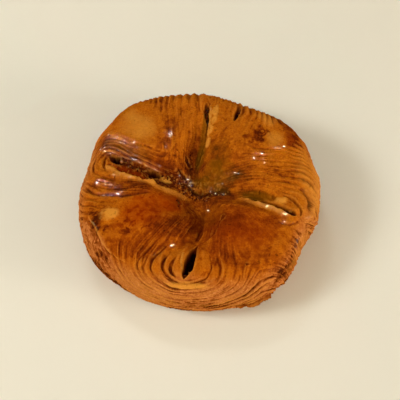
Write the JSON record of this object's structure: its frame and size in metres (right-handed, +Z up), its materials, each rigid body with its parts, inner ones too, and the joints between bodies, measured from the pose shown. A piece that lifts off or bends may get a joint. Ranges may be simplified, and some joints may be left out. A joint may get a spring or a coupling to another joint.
{
  "type": "kouign amann",
  "caption": "Round caramelised pastry of laminated dough, its corners folded in to a sunken middle, with nested layered lips and open slits at the seams.",
  "frame": {"origin": "middle of the width and depth, on the flat foot that the pastry rests on", "axes": "+Z up, out of the folded top; -Y towards the front seam, the one with the widest hole; +X to the right of it"},
  "size_m": [0.0998, 0.1014, 0.0307],
  "materials": {
    "crust": "deep amber caramelised crust with a thin, uneven sugar glaze"
  },
  "bodies": {
    "root": {"pastry": "crust"}
  },
  "joints": []
}
